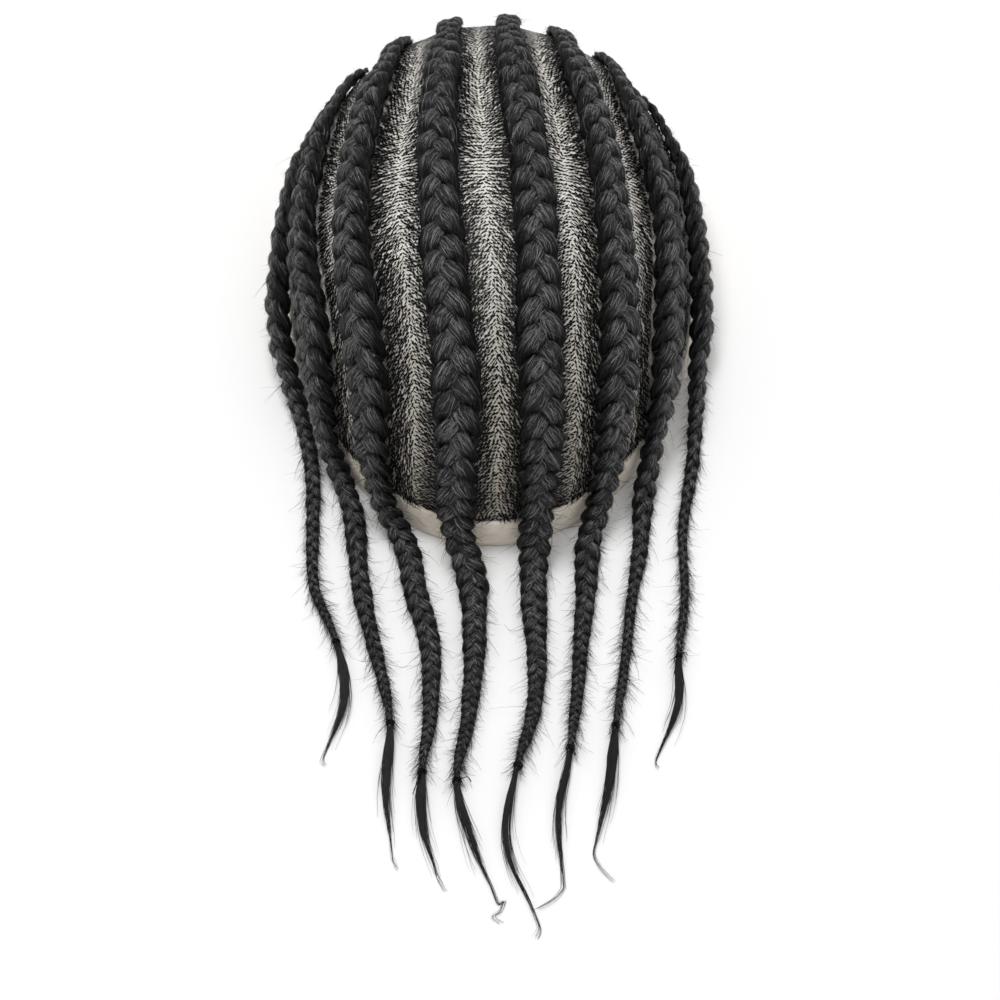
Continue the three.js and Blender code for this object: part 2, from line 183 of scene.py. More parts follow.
class Braid:
    """Middle line and widths of one braid, worked out as for the solids."""

    def __init__(self, row, plait_pitch):
        full = BRAID_WIDTH * row["full"]
        self.row = row
        self.rim, self.half, self.neck = (BRAID_WIDTH * row[name] for name in ("rim", "half", "neck"))
        self.tie_radius = self.neck / 2 + SEAM + THREAD_WALL
        hairline = full * HAIRLINE_SHARE
        places = np.array([0, NARROW_END, BACK_PLACE, 0.5, 0.75])
        dome_widths = [hairline, hairline, full * BACK_SHARE, full * CROWN_SHARE, full]

        # Over the dome
        height = (STRIP_HEIGHT + SEAM + hairline / 2) / HALF[2]
        start = rim_direction(math.radians(row["far"])) * math.sqrt(1 - height ** 2)
        start[2] = height
        near = rim_direction(math.radians(180 - row["near"]))
        self.directions = unit(smooth_path([
            start,
            dome_direction(math.radians(row["back"]), math.asin(start[1]) / 2),
            dome_direction(math.radians(row["crown"]), 0.0),
            dome_direction(math.radians(row["front"]), math.asin(near[1]) / 2),
            near,
        ], DOME_STEPS))
        share = np.linspace(0, 1, len(self.directions))
        flatness = np.interp(share, [NARROW_END, BACK_PLACE], [FAR_FLATNESS, CORNROW_FLATNESS])
        rise = SEAM + np.interp(share, [*places, 1], [*dome_widths, self.rim]) * flatness / 2
        dome = Route(dome_point(self.directions, rise), unit(self.directions / HALF))
        peel_run = PEEL_LENGTH * row["peel"]
        peel = int(np.argmax(dome.distances > dome.length - peel_run))

        # Along the surface
        surface = self.surface_route(near)
        landing = int(np.argmax(surface.distances > peel_run))

        # The bend between them
        start_frame = [v[0] for v in dome.frame(dome.distances[peel:peel + 1])]
        end_frame = [v[0] for v in surface.frame(surface.distances[landing:landing + 1])]
        reach = np.linalg.norm(end_frame[0] - start_frame[0]) * BEND_REACH
        handles = [
            start_frame[0], start_frame[0] + start_frame[1] * reach,
            end_frame[0] - end_frame[1] * reach, end_frame[0],
        ]
        count = max(4, int(np.linalg.norm(end_frame[0] - start_frame[0]) / BEND_STEP))
        t = (np.arange(1, count) / count)[:, None]
        weights = [(1 - t) ** 3, 3 * t * (1 - t) ** 2, 3 * t ** 2 * (1 - t), t ** 3]
        bend = sum(w * h for w, h in zip(weights, handles))
        bend_normals = unit(start_frame[3] * (1 - t) + np.array([0.0, 0.0, 1.0]) * t)

        self.route = Route(
            np.vstack([dome.points[:peel + 1], bend, surface.points[landing:]]),
            np.vstack([dome.normals[:peel + 1], bend_normals, surface.normals[landing:]]),
        )
        self.rim_place = self.route.distances[peel + round(count / 2)]
        past = self.route.length - surface.length
        self.tie = past + surface.distances[SURFACE_STEPS * 4]
        half_place = past + surface.distances[SURFACE_STEPS * 2]
        self.width_knots = (
            [0, hairline, *dome.length * places[1:], self.rim_place, half_place, self.tie - TIE_LENGTH],
            [hairline * START_SHARE, *dome_widths, self.rim, self.half, self.neck * FLARE_SHARE],
        )
        self.flatness_knots = (
            [*dome.length * places[1:3], self.rim_place - PEEL_LENGTH, self.rim_place + PEEL_LENGTH],
            [FAR_FLATNESS, CORNROW_FLATNESS, CORNROW_FLATNESS, PLAIT_FLATNESS],
        )
        self.pitch_knots = (
            [*dome.length * places, self.rim_place + PEEL_LENGTH],
            [*DOME_PITCH, plait_pitch],
        )

    def surface_route(self, near):
        row = self.row
        rim = dome_point(near)
        run, tail_run = PLAIT_LENGTH * row["run"], TAIL_LENGTH * row["tail"]
        sways = [row[f"sway{k}"] * PLAIT_LENGTH for k in range(5)]
        widths = [self.rim, (self.rim + self.half) / 2, self.half, (self.half + self.neck) / 2]
        stands = [SURFACE_GAP + width * PLAIT_FLATNESS / 2 for width in widths]
        stands.append(SURFACE_GAP + self.tie_radius)
        plan = [(rim[0] + sways[k], rim[1] - run * k / 4, stands[k]) for k in range(5)]
        tie_x, tie_y = plan[4][:2]
        plan.append((
            tie_x + row["bend"] * TAIL_LENGTH, tie_y - tail_run / 2, SURFACE_GAP + TAIL_WIDTH * PLAIT_FLATNESS / 2))
        plan.append((
            tie_x + row["tip"] * TAIL_LENGTH, tie_y - tail_run, SURFACE_GAP + TIP_WIDTH * PLAIT_FLATNESS / 2))
        points = smooth_path(plan, SURFACE_STEPS)
        return Route(points, np.tile([0.0, 0.0, 1.0], (len(points), 1)))

    def width(self, s):
        return np.interp(s, *self.width_knots)

    def pitch(self, s):
        return self.width(s) * np.interp(s, *self.pitch_knots)

    def flatness(self, s):
        return np.interp(s, *self.flatness_knots)


# Meshes from arrays

class Batch:
    """Collects quads for one joined mesh. Two kinds of marks are kept for the materials: marks are millimetres
    along and across a strand and a number that differs from hair to hair, and the other kind (0 to 1) is painted
    light for the colour: a painted highlight where a place lies on top of the others, painted shade where it lies low."""

    def __init__(self):
        self.points, self.faces, self.marks, self.crests, self.count = [], [], [], [], 0

    def add(self, points, faces, marks, crest):
        self.faces.append(faces.reshape(-1, 4) + self.count)
        self.points.append(points.reshape(-1, 3))
        self.marks.append(marks.reshape(-1, 3))
        self.crests.append(np.broadcast_to(crest, points.shape[:-1]).ravel())
        self.count += len(self.points[-1])

    def tube(self, rings, marks, crest=0.5):
        """rings is (rings, sides, 3); both ends are closed."""
        count, sides = rings.shape[:2]
        index = np.arange(count * sides).reshape(count, sides)
        turned = np.roll(index, -1, axis=1)
        walls = np.stack([index[:-1], turned[:-1], turned[1:], index[1:]], axis=-1).reshape(-1, 4)
        k = np.arange(sides // 2 - 1)
        lid = np.stack([k, k + 1, sides - 2 - k, sides - 1 - k], axis=-1)
        end = lid + (count - 1) * sides
        self.add(rings, np.vstack([walls, lid[:, ::-1], end]), marks, crest)

    def ribbons(self, paths, sides, marks, crest=0.5):
        """paths is (ribbons, steps, 3), sides the vectors from the middle to one edge."""
        count, steps = paths.shape[:2]
        points = np.stack([paths - sides, paths + sides], axis=2)
        index = np.arange(count * steps * 2).reshape(count, steps, 2)
        faces = np.stack([index[:, :-1, 0], index[:, :-1, 1], index[:, 1:, 1], index[:, 1:, 0]], axis=-1)
        crest = np.repeat(np.broadcast_to(crest, (count, steps))[:, :, None], 2, axis=2)
        self.add(points, faces, np.repeat(marks[:, :, None], 2, axis=2), crest)

    def build(self, name, material, slot, *nodes):
        points, faces, marks, crests = (
            np.concatenate(part) for part in (self.points, self.faces, self.marks, self.crests))
        mesh = bpy.data.meshes.new(name)
        mesh.vertices.add(len(points))
        mesh.vertices.foreach_set("co", points.astype(np.float32).ravel())
        mesh.loops.add(faces.size)
        mesh.loops.foreach_set("vertex_index", faces.astype(np.int32).ravel())
        mesh.polygons.add(len(faces))
        mesh.polygons.foreach_set("loop_start", np.arange(0, faces.size, 4, dtype=np.int32))
        mesh.polygons.foreach_set("use_smooth", np.ones(len(faces), bool))
        mesh.update(calc_edges=True)
        attribute = mesh.attributes.new("strand", "FLOAT_VECTOR", "POINT")
        attribute.data.foreach_set("vector", marks.astype(np.float32).ravel())
        # a factor of painted light per point: painted highlight where strands lie on top, painted shade where they dive
        attribute = mesh.attributes.new("crest", "FLOAT", "POINT")
        attribute.data.foreach_set("value", crests.astype(np.float32))
        mesh.materials.append(material)
        piece = bpy.data.objects.new(name, mesh)
        bpy.context.scene.collection.objects.link(piece)
        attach(piece, "root")
        if nodes:
            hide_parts(*nodes)
        return piece


# Materials

class Nodes:
    """Short way to write a material's nodes."""

    def __init__(self, name, roughness, **sockets):
        self.material = bpy.data.materials.new(name)
        self.material.use_nodes = True
        self.tree = self.material.node_tree
        self.shader = self.tree.nodes["Principled BSDF"]
        self.shader.inputs["Roughness"].default_value = roughness
        for socket, value in sockets.items():
            self.shader.inputs[socket.replace("_", " ")].default_value = value

    def node(self, kind, **values):
        made = self.tree.nodes.new("ShaderNode" + kind)
        for key, value in values.items():
            if isinstance(value, bpy.types.NodeSocket):
                self.tree.links.new(value, made.inputs[key.replace("_", " ")])
            elif key.replace("_", " ") in made.inputs and not hasattr(made, key):
                made.inputs[key.replace("_", " ")].default_value = value
            else:
                setattr(made, key, value)
        return made

    def marks(self, scale, offset=(0, 0, 0)):
        """The strand marks, scaled."""
        source = self.node("Attribute", attribute_name="strand").outputs["Vector"]
        scaled = self.tree.nodes.new("ShaderNodeVectorMath")
        scaled.operation = "MULTIPLY_ADD"
        self.tree.links.new(source, scaled.inputs[0])
        scaled.inputs[1].default_value = scale
        scaled.inputs[2].default_value = offset
        return scaled.outputs[0]

    def ramp(self, factor, *stops):
        made = self.tree.nodes.new("ShaderNodeValToRGB")
        self.tree.links.new(factor, made.inputs[0])
        elements = made.color_ramp.elements
        while len(elements) < len(stops):
            elements.new(0.5)
        for element, (place, colour) in zip(elements, stops):
            element.position = place
            element.color = (*colour, 1.0) if isinstance(colour, tuple) else (colour, colour, colour, 1.0)
        return made.outputs["Color"]

    def product(self, first, second):
        made = self.node("Mix", data_type="RGBA", blend_type="MULTIPLY")
        made.inputs["Factor"].default_value = 1.0
        self.tree.links.new(first, made.inputs[6])
        self.tree.links.new(second, made.inputs[7])
        return made.outputs[2]

    def colour(self, socket):
        self.tree.links.new(socket, self.shader.inputs["Base Color"])

    def rough(self, socket):
        self.tree.links.new(socket, self.shader.inputs["Roughness"])

    def bump(self, height, strength, distance):
        made = self.node("Bump", Strength=strength, Distance=distance, Height=height)
        self.tree.links.new(made.outputs["Normal"], self.shader.inputs["Normal"])


def hair_material(name, dark, light, gloss, shine, relief=0.9):
    """Fine hairs along a strand: streaks in colour, gloss and relief. The colour also carries painted light: a painted
    highlight where a strand lies on top and painted shade where it dives under another or faces down.
    """
    nodes = Nodes(name, gloss, Specular_IOR_Level=shine)
    fine = nodes.node("TexNoise", Vector=nodes.marks((0.10, 3.4, 37.0)), Scale=1.0, Detail=3.0)
    crinkle = nodes.node("TexNoise", Vector=nodes.marks((0.9, 1.4, 11.0)), Scale=1.0, Detail=2.0)
    both = nodes.node("Mix", data_type="FLOAT", Factor=0.3, A=fine.outputs["Fac"], B=crinkle.outputs["Fac"])
    # painted light: the tone is raised as a painted highlight where a strand lies on top and lowered as painted shade
    # where it dives
    crest = nodes.node("Attribute", attribute_name="crest").outputs["Fac"]
    lit = nodes.node("MapRange", Value=crest, To_Min=-0.31, To_Max=0.22).outputs["Result"]
    tone = nodes.node("Math", operation="ADD")
    nodes.tree.links.new(fine.outputs["Fac"], tone.inputs[0])
    nodes.tree.links.new(lit, tone.inputs[1])
    nodes.colour(nodes.ramp(tone.outputs[0], (0.40, dark), (0.68, light)))
    nodes.rough(nodes.ramp(crinkle.outputs["Fac"], (0.3, gloss - 0.08), (0.7, gloss + 0.14)))
    nodes.bump(both.outputs["Result"], relief, 0.5 * MM)
    return nodes.material


def lace_material():
    """Silver-beige net: bright threads round small dark holes, with painted shade that darkens and warms it towards the
    near rim.
    """
    nodes = Nodes("lace_net", 0.6, Specular_IOR_Level=0.3)
    turned = nodes.node(
        "Mapping", Vector=nodes.marks((1.0, 1.0, 0.0)), Rotation=(0.0, 0.0, math.radians(45)))
    cells = nodes.node("TexVoronoi", Vector=turned.outputs[0], Scale=1.35, Randomness=0.25)
    cloud = nodes.node("TexNoise", Vector=nodes.marks((0.12, 0.12, 0.0)), Scale=1.0, Detail=2.0)
    bright = nodes.ramp(cloud.outputs["Fac"], (0.3, (0.70, 0.68, 0.64)), (0.7, (0.92, 0.91, 0.88)))
    holes = nodes.ramp(cells.outputs["Distance"], (0.14, 0.35), (0.36, 1.0))
    height = nodes.node("SeparateXYZ", Vector=nodes.marks((0.01, 0.01, 0.01), (0.5, 1.2, 0.0))).outputs["Y"]
    # painted shade: the net is darker and warmer towards the near rim
    near_rim_painted_shade = nodes.ramp(
        height, (0.30, (0.53, 0.495, 0.45)), (0.62, (0.62, 0.595, 0.56)), (0.95, (0.76, 0.745, 0.72)),
        (1.0, (0.86, 0.845, 0.82)))
    nodes.colour(nodes.product(nodes.product(bright, holes), near_rim_painted_shade))
    nodes.bump(cells.outputs["Distance"], 0.8, 0.3 * MM)
    return nodes.material


def film_material():
    """Thin tan film, mottled, with a fine grain and a soft gloss."""
    nodes = Nodes("tan_film", 0.4, Specular_IOR_Level=0.5)
    cloud = nodes.node("TexNoise", Vector=nodes.marks((0.25, 0.5, 0.0)), Scale=1.0, Detail=4.0)
    nodes.colour(nodes.ramp(cloud.outputs["Fac"], (0.3, (0.74, 0.65, 0.53)), (0.7, (0.90, 0.83, 0.73))))
    grain = nodes.node("TexNoise", Vector=nodes.marks((2.0, 2.0, 0.0)), Scale=1.0, Detail=2.0)
    nodes.bump(grain.outputs["Fac"], 0.5, 0.2 * MM)
    return nodes.material


HAIR = hair_material("hair_strands", (0.0008, 0.0008, 0.0009), (0.019, 0.0185, 0.019), 0.44, 0.15)
# the fibres' light tone is partly a painted highlight for the glints of single hairs; their tones also differ from hair
# to hair
FIBRE_PAINTED_SHEEN = hair_material("hair_fibres_painted_sheen", (0.0012, 0.0012, 0.0013), (0.16, 0.156, 0.158), 0.34, 0.38, 0.2)
# the strays' lighter tone is partly a painted highlight, for the sheen of single hairs over the dark braids
STRAY_HAIR_PAINTED_SHEEN = hair_material("hair_strays_painted_sheen", (0.0015, 0.0015, 0.0015), (0.035, 0.034, 0.034), 0.42, 0.2, 0.2)
LOOSE_HAIR = hair_material("hair_loose", (0.0008, 0.0008, 0.0008), (0.011, 0.0105, 0.0105), 0.46, 0.12, 0.2)
LACE_HAIR = hair_material("hair_in_lace", (0.002, 0.0019, 0.0018), (0.012, 0.011, 0.010), 0.5, 0.12, 0.2)
THREAD = hair_material("tie_thread", (0.001, 0.001, 0.001), (0.005, 0.005, 0.006), 0.6, 0.1)
LACE = lace_material()
FILM = film_material()


# A braid: three strands, the hairs on them, stray hairs and the loose tail

PHASE_STEP = 0.2  # lumps passed from one ring of a strand to the next
STRAND_HALF_WIDTH = (0.255, 0.235)  # of the braid's width, at the hairline and at the near rim
SIDE_SWING = (0.07, -0.06)  # a strand's sideways swing: fuller than a sine, and then straighter than one
BRAID_REACH = 0.485  # how far the strands reach from the middle, of the braid's width
TOP_VERTICES, BOTTOM_VERTICES = 12, 4
FIBRES = 1600  # hairs lying on each strand
STRAYS = 1100  # short hairs that leave each strand
TAIL_HAIRS = 170
TAIL_LOCKS = 6
START_TAPER = 9 * MM  # over which a braid gathers at the hairline


def ripple(angle, q, waves):
    """Locks within a strand: a few waves round it, which wander slowly along it."""
    total = np.zeros(np.broadcast(angle, q).shape)
    for count, size, pace, start, drift in waves:
        total += size * np.sin(count * angle + start + drift * np.sin(pace * q + start * 2))
    return total


class Strand:
    """One of the three strands of a braid, read at fractional ring numbers."""

    def __init__(self, braid, turn):
        fine = np.linspace(0.8 * MM, braid.tie + 1.5 * MM, 1600)
        pitch = smoothed(braid.pitch(fine), 16)
        lumps = np.concatenate([[0], np.cumsum(np.diff(fine) / ((pitch[1:] + pitch[:-1]) / 2))])
        self.q = np.arange(0, lumps[-1], PHASE_STEP)
        s = np.interp(self.q, lumps, fine)
        self.s = s
        self.width = np.interp(s, fine, smoothed(braid.width(fine), 16))
        self.fuzz = np.interp(s / braid.rim_place, [0, 0.45, 1.0, 1.4], [0.5, 0.75, 1.2, 1.0])
        self.phase = 2 * math.pi * (self.q + turn) / 3 + math.pi / 2
        noise = rng.uniform(0, 2 * math.pi, 6)
        wander = 0.5 * np.sin(1.3 * self.q + noise[0]) + 0.5 * np.sin(2.9 * self.q + noise[1])
        swell = np.clip(np.sin(2 * self.phase), 0, 1)
        taper = np.interp(s, [0, START_TAPER], [0.55, 1])
        size = (0.84 + 0.2 * swell + 0.07 * wander) * taper
        depth = braid.flatness(s) * self.width / 2
        neck = np.interp(braid.tie - s, [0, TIE_LENGTH, 4 * TIE_LENGTH], [0.3, 0.45, 1])
        self.a = np.interp(s, [0, braid.rim_place], STRAND_HALF_WIDTH) * self.width * size \
            * np.clip(neck * 1.25, 0, 1)
        self.b = 0.64 * depth * size
        bend = np.interp(s, [0, braid.rim_place], SIDE_SWING)
        swing = (np.sin(self.phase) + bend * np.sin(3 * self.phase)) / (1 - bend)
        place, _, across, out = braid.route.frame(s)
        side = (self.width * BRAID_REACH - self.a) * neck * swing * taper \
            + 0.03 * self.width * np.sin(0.8 * self.q + noise[2])
        lift = 0.40 * depth * np.sin(2 * self.phase) + 0.06 * depth * np.sin(1.7 * self.q + noise[3])
        self.middle = place + across * side[:, None] + out * lift[:, None]
        along = unit(np.gradient(self.middle, axis=0))
        self.e2 = unit(out - along * np.sum(out * along, axis=1, keepdims=True))
        self.e1 = np.cross(self.e2, along)
        self.along = along
        self.waves = [
            (7, 0.045, 1.1, noise[4], 0.8), (12, 0.04, 1.7, noise[5], 1.1), (17, 0.025, 2.3, noise[0], 1.4),
        ]
        self.key = rng.uniform(0, 1)

    def at(self, values, index):
        low = np.clip(np.floor(index).astype(int), 0, len(self.q) - 2)
        share = np.clip(index - low, 0, 1)
        share = share[..., None] if values.ndim == 2 else share
        return values[low] * (1 - share) + values[low + 1] * share

    def surface(self, index, angle, lift=0.0):
        """Points on the strand at ring numbers and angles round it (a quarter turn is outwards)."""
        q = self.at(self.q, index)
        grow = 1 + ripple(angle, q, self.waves)
        a, b = self.at(self.a, index), self.at(self.b, index)
        u = (a * grow + lift) * np.cos(angle)
        v = (b * grow + lift) * np.sin(angle)
        return self.at(self.middle, index) + self.at(self.e1, index) * u[..., None] \
            + self.at(self.e2, index) * v[..., None]

    def tangent(self, index, angle):
        """Direction round the strand."""
        u = -self.at(self.a, index) * np.sin(angle)
        v = self.at(self.b, index) * np.cos(angle)
        return unit(self.at(self.e1, index) * u[..., None] + self.at(self.e2, index) * v[..., None])

    def crest(self, index, angle):
        """Painted light for the colour: a painted highlight where the strand crosses over and faces up, painted shade
        where it dives and on its underside.
        """
        over = 0.5 + 0.5 * np.sin(2 * self.at(self.phase, index) + 0.25)
        return over ** 1.6 * np.clip(0.25 + 0.75 * np.sin(angle), 0, 1)

    def pick(self, count, depth, plaited=1.0):
        """Ring numbers spread over the length where the strand lies no deeper than depth."""
        weight = self.width ** plaited * (np.sin(2 * self.phase) > depth)
        rings = rng.choice(len(self.q), count, p=weight / weight.sum())
        return np.clip(rings + rng.uniform(-0.5, 0.5, count), 0, len(self.q) - 1.01)


def add_strand(batch, strand):
    top = np.radians(np.linspace(-25, 205, TOP_VERTICES))
    bottom = np.radians(np.linspace(205, 335, BOTTOM_VERTICES + 2)[1:-1])
    angle = np.concatenate([bottom[2:], top + 2 * math.pi, bottom[:2] + 2 * math.pi])
    index = np.arange(len(strand.q))[:, None] * np.ones(len(angle))
    angles = np.broadcast_to(angle, index.shape)
    rings = strand.surface(index, angles)
    marks = np.stack([
        np.broadcast_to(strand.s[:, None] / MM, index.shape),
        angles * strand.a[:, None] / MM,
        np.full(index.shape, strand.key),
    ], axis=-1)
    # the strand's colour gets a painted highlight on its crossings and painted shade where it dives and underneath
    batch.tube(rings, marks, strand.crest(index, angles))


def hair_marks(along, shape):
    """Marks for single hairs: each has its own number, and so its own tone."""
    key = rng.uniform(0, 40, shape[0])[:, None]
    return np.stack([np.broadcast_to(along / MM, shape), np.zeros(shape), np.broadcast_to(key, shape)], axis=-1)


def add_fibres(batch, strand, count):
    """Hairs that lie along a strand where it shows, a little proud of it, with lifted ends."""
    steps = 6
    t = np.linspace(-0.5, 0.5, steps)
    span = rng.uniform(0.45, 1.05, count) / PHASE_STEP
    index = np.clip(strand.pick(count, -0.35)[:, None] + span[:, None] * t, 0, len(strand.q) - 1.01)
    fuzz = strand.at(strand.fuzz, index)
    wave = rng.uniform(0, 6.3, count)[:, None] + rng.uniform(8, 20, count)[:, None] * t
    drift = rng.normal(0, np.where(rng.uniform(0, 1, count) < 0.14, 1.3, 0.4))
    angle = rng.uniform(math.radians(-15), math.radians(195), count)[:, None] \
        + drift[:, None] * t * fuzz + 0.07 * np.sin(wave)
    width = strand.at(strand.width, index)
    scale = np.clip(width / (12 * MM), 0.35, 1)
    ends = (2 * np.abs(t)) ** 3
    lift = 0.008 * width + np.abs(rng.normal(0, 0.42, count))[:, None] * MM * ends * scale * fuzz
    paths = strand.surface(index, angle, lift)
    thick = rng.uniform(0.035, 0.095, count)[:, None] * MM * (1 - 0.6 * ends) * np.sqrt(scale)
    tangent = strand.tangent(index, angle)
    out = np.cross(tangent, strand.at(strand.along, index))
    roll = rng.normal(0, 0.5, count)[:, None, None]
    sides = (tangent * np.cos(roll) + out * np.sin(roll)) * thick[..., None]
    paths = paths + out * (np.abs(np.sin(roll[..., 0])) * thick)[..., None]
    # the hairs take the strand's painted highlight and painted shade
    batch.ribbons(paths, sides, hair_marks(strand.at(strand.s, index), index.shape), strand.crest(index, angle))


def add_strays(batch, strand, count):
    """Short hairs that leave a strand forwards, mostly at its sides. A few are long and curl."""
    steps = 4
    index = strand.pick(count, -0.8, 0.0)[:, None]
    side = rng.choice([0.0, math.pi], count)
    angle = (side + rng.normal(0, 0.75, count))[:, None]
    start = strand.surface(index, angle)[:, 0]
    along = strand.at(strand.along, index)[:, 0]
    round_it = strand.tangent(index, angle)[:, 0]
    out = np.cross(round_it, along)
    fuzz = strand.at(strand.fuzz, index)
    long = rng.uniform(0, 1, (count, 1)) < 0.04
    length = (rng.gamma(3.0, np.where(long, 1.5, 0.85), (count, 1)) * fuzz).clip(0.6, 8)[:, 0] * MM
    lean = np.radians(rng.uniform(12, 44, count))[:, None, None]
    curl = (rng.normal(0, 0.35, (count, 1)) + long * rng.normal(0, 0.8, (count, 1)))[..., None]
    t = np.linspace(0, 1, steps)[None, :, None]
    paths = start[:, None] + length[:, None, None] * (
        along[:, None] * t * np.cos(lean) + out[:, None] * t * np.sin(lean) * (1.2 - 0.3 * t)
        + round_it[:, None] * curl * t ** 2)
    paths[..., 2] = np.maximum(paths[..., 2], 0.05 * MM)
    thick = rng.uniform(0.045, 0.08, count)[:, None] * MM * (1 - 0.7 * t[..., 0])
    sides = unit(np.cross(np.gradient(paths, axis=1), [0.0, 0.0, 1.0])) * thick[..., None]
    batch.ribbons(paths, sides, hair_marks(t[..., 0] * 5 * MM, paths.shape[:2]))


def add_tail(batch, number, braid, count):
    """The loose brush of hair past the tie: a few locks that drift apart, of single hairs with wispy ends."""
    steps = 11
    begin = braid.tie - 1.2 * TIE_LENGTH
    reach = braid.route.length - begin
    lock = rng.integers(0, TAIL_LOCKS, count)
    lock_turn = rng.uniform(0, 2 * math.pi, TAIL_LOCKS)[lock][:, None]
    lock_end = np.concatenate([[1.0], rng.uniform(0.7, 1.0, TAIL_LOCKS - 1)])[lock]
    ends = begin + reach * lock_end * rng.uniform(0.3, 1.0, count) ** 0.5
    share = np.linspace(0, 1, steps)[None]
    s = begin + (ends - begin)[:, None] * share
    place, _, across, out = braid.route.frame(s)
    progress = (s - begin) / reach
    neck, full = braid.neck * 0.4, TAIL_WIDTH / 2
    spread = np.interp(progress, [0, 0.1, 0.28, 0.6, 0.85, 1], [
        neck, neck, full * 0.8, full * 0.6, full * 0.25, full * 0.06])
    turn = rng.uniform(0, 2 * math.pi, count)[:, None]
    radius = np.sqrt(rng.uniform(0, 1, count))[:, None]
    kink = 0.12 * MM * np.sin(s / (1.1 * MM) + turn * 3) * progress
    flies = rng.uniform(0, 1, count) < 0.16
    stray = (rng.normal(0, 1.5, count) * flies)[:, None] * MM * np.sin(2.2 * progress ** 1.5)
    u = spread * (0.55 * np.cos(lock_turn + 1.5 * progress) + 0.5 * radius * np.cos(turn)) + kink + stray
    v = spread * (0.5 * np.sin(lock_turn) + 0.5 * radius * np.sin(turn)) * np.interp(progress, [0, 0.1, 0.4], [1, 1, 0.45])
    paths = place + across * u[..., None] + out * v[..., None]
    paths[..., 2] = np.maximum(paths[..., 2], 0.1 * MM)
    thick = rng.uniform(0.05, 0.12, count)[:, None] * MM * (1 - 0.75 * share ** 2)
    batch.ribbons(paths, across * thick[..., None], hair_marks(s, s.shape))

    # Wisps past the tip
    bends = TAIL_WISPS.get(number, [(0.8, -2.0)])
    last = braid.route.place(begin + reach * np.array([0.7, 0.85, 1.0]))
    middle = smooth_path([*last, *(last[-1] + np.array([x, y, 0.0]) * MM for x, y in bends)], 4)
    along = np.linspace(0, 1, len(middle))[None, :, None]
    count = 9
    paths = middle[None] + rng.normal(0, 0.35, (count, 1, 3)) * MM * (0.4 + along) \
        + 0.15 * MM * np.sin(along * rng.uniform(5, 12, (count, 1, 1)))
    paths[..., 2] = np.maximum(paths[..., 2], 0.1 * MM)
    thick = rng.uniform(0.04, 0.09, count)[:, None] * MM * (1 - 0.7 * along[..., 0])
    sides = unit(np.cross(np.gradient(paths, axis=1), [0.0, 0.0, 1.0])) * thick[..., None]
    batch.ribbons(paths, sides, hair_marks(along[..., 0] * 20 * MM, paths.shape[:2]))


# The last hairs of a tail by braid: places past its tip, in millimetres to the right and away from the ties
TAIL_WISPS = {
    2: [(0.4, -2.0), (1.5, -4.2)],
    3: [(0.8, -2.0), (2.2, -4.4)],
    4: [(1.8, 1.0), (0.6, -2.2), (-1.6, -4.0), (0.8, -5.8)],
    5: [(0.2, -2.6), (-0.8, -4.6)],
    6: [(0.0, -2.2), (-2.6, -5.6), (-7.4, -8.6)],
    7: [(0.4, -3.4), (2.2, -6.4), (5.6, -9.6)],
}


def plait(number, braid):
    body, fibres, strays, tail = Batch(), Batch(), Batch(), Batch()
    for turn in range(3):
        strand = Strand(braid, turn)
        add_strand(body, strand)
        add_fibres(fibres, strand, FIBRES)
        add_strays(strays, strand, STRAYS)
    add_tail(tail, number, braid, TAIL_HAIRS)
    body.build(f"plait_{number}", HAIR, "hair", f"braid_{number}")
    fibres.build(f"plait_{number}_fibres", FIBRE_PAINTED_SHEEN, "hair")
    strays.build(f"plait_{number}_strays", STRAY_HAIR_PAINTED_SHEEN, "hair")
    tail.build(f"plait_{number}_tail", LOOSE_HAIR, "hair")


# Thread ties

# Loose ends of thread by braid: millimetres across and along from the tie, at each bend
THREAD_ENDS = {
    3: [[(1.0, 2.0), (1.5, 5.0), (2.2, 7.5)], [(0.4, 2.0), (1.2, 4.0), (2.0, 6.4)]],
    4: [[(-1.8, -0.6), (-3.4, -0.9), (-4.4, 0.8)]],
    6: [[(-1.2, 0.5), (-1.9, 2.2)]],
    8: [[(1.4, 1.0), (0.8, 3.6), (1.2, 6.8)], [(-1.8, -1.2), (-2.6, -0.4)]],
}


def tie(number, braid):
    """Thread wound round the neck in a few turns, with one or two loose ends."""
    batch = Batch()
    place, along, across, out = (v[0] for v in braid.route.frame(np.array([braid.tie])))
    turns, thickness, sides = 6, 0.32 * MM, 6
    angle = np.linspace(0, 2 * math.pi * turns, turns * 14)
    barrel = braid.neck * 0.48 + 0.2 * MM * np.sin(np.linspace(0, math.pi, len(angle)))
    advance = np.linspace(-0.36, 0.36, len(angle)) * TIE_LENGTH + 0.15 * MM * np.sin(angle * 0.37)
    path = place + along * advance[:, None] \
        + (across * np.cos(angle)[:, None] + out * np.sin(angle)[:, None]) * barrel[:, None]
    add_thread(batch, path, thickness, sides)
    for bends in THREAD_ENDS.get(number, ()):
        plan = [(0.0, 0.3, barrel.max() / MM)] + [(*bend, 0.5) for bend in bends]
        middle = smooth_path([place + (across * u + along * v + out * w) * MM for u, v, w in plan], 6)
        middle[:, 2] = np.maximum(middle[:, 2], thickness)
        add_thread(batch, middle, thickness * 0.9, sides)
    batch.build(f"thread_{number}", THREAD, "thread", f"tie_{number}")


